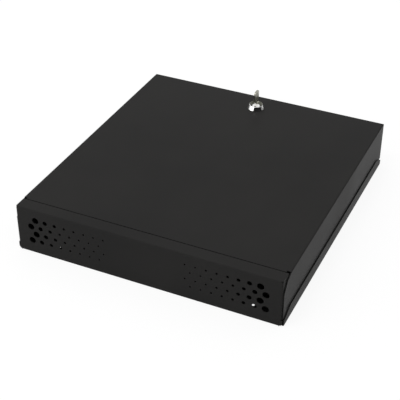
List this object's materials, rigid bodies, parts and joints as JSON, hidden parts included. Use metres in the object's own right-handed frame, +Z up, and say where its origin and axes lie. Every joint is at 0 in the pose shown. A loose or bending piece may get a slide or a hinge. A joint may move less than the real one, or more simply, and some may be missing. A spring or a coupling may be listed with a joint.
{
  "type": "dvr lock box",
  "caption": "Flat sheet-steel lock box for a video recorder, with a vented front panel, low side strips, a hook-on lid, and a cam lock with its key near the lid's back edge.",
  "frame": {"origin": "middle of the footprint, on the surface that the box stands on", "axes": "+X to the right seen from the vented front, +Y to the back, +Z up"},
  "size_m": [0.3912, 0.421, 0.1013],
  "materials": {
    "black_powder_coat": "satin",
    "zinc_plated_steel": "satin",
    "rivet_aluminium": "satin",
    "polished_chrome": "polished",
    "wafer_brass": "satin",
    "nickel_plate": "nickel-plated, satin",
    "black_trim": "matte"
  },
  "bodies": {
    "base": {"base_tray": "black_powder_coat", "keeper_bracket": "zinc_plated_steel", "keeper_rivets": "rivet_aluminium", "cable_trim_left": "black_trim", "cable_trim_right": "black_trim"},
    "lid": {"lid": "black_powder_coat", "lid_hook_left": "black_powder_coat", "lid_hook_middle": "black_powder_coat", "lid_hook_right": "black_powder_coat", "lock_body": "polished_chrome", "lock_washer": "zinc_plated_steel", "lock_nut": "zinc_plated_steel"},
    "lock_core": {"lock_plug": "polished_chrome", "wafer_1": "wafer_brass", "wafer_2": "wafer_brass", "wafer_3": "wafer_brass", "wafer_4": "wafer_brass", "wafer_5": "wafer_brass", "stop_washer": "zinc_plated_steel", "lock_cam": "zinc_plated_steel", "cam_washer": "zinc_plated_steel", "cam_screw": "zinc_plated_steel"},
    "key": {"key": "nickel_plate"}
  },
  "joints": [
    {"name": "lid_tilt", "type": "hinge", "parent": "base", "child": "lid", "pos_m": [0, -0.191, 0.0703], "axis": [1, 0, 0], "range_deg": [0, 35]},
    {"name": "lock_turn", "type": "hinge", "parent": "lid", "child": "lock_core", "pos_m": [-0.00085, 0.17275, 0.0715], "axis": [0, 0, -1], "range_deg": [0, 90]},
    {"name": "key_slide", "type": "slide", "parent": "lock_core", "child": "key", "axis": [0, 0, 1], "range_m": [0, 0.024]}
  ]
}
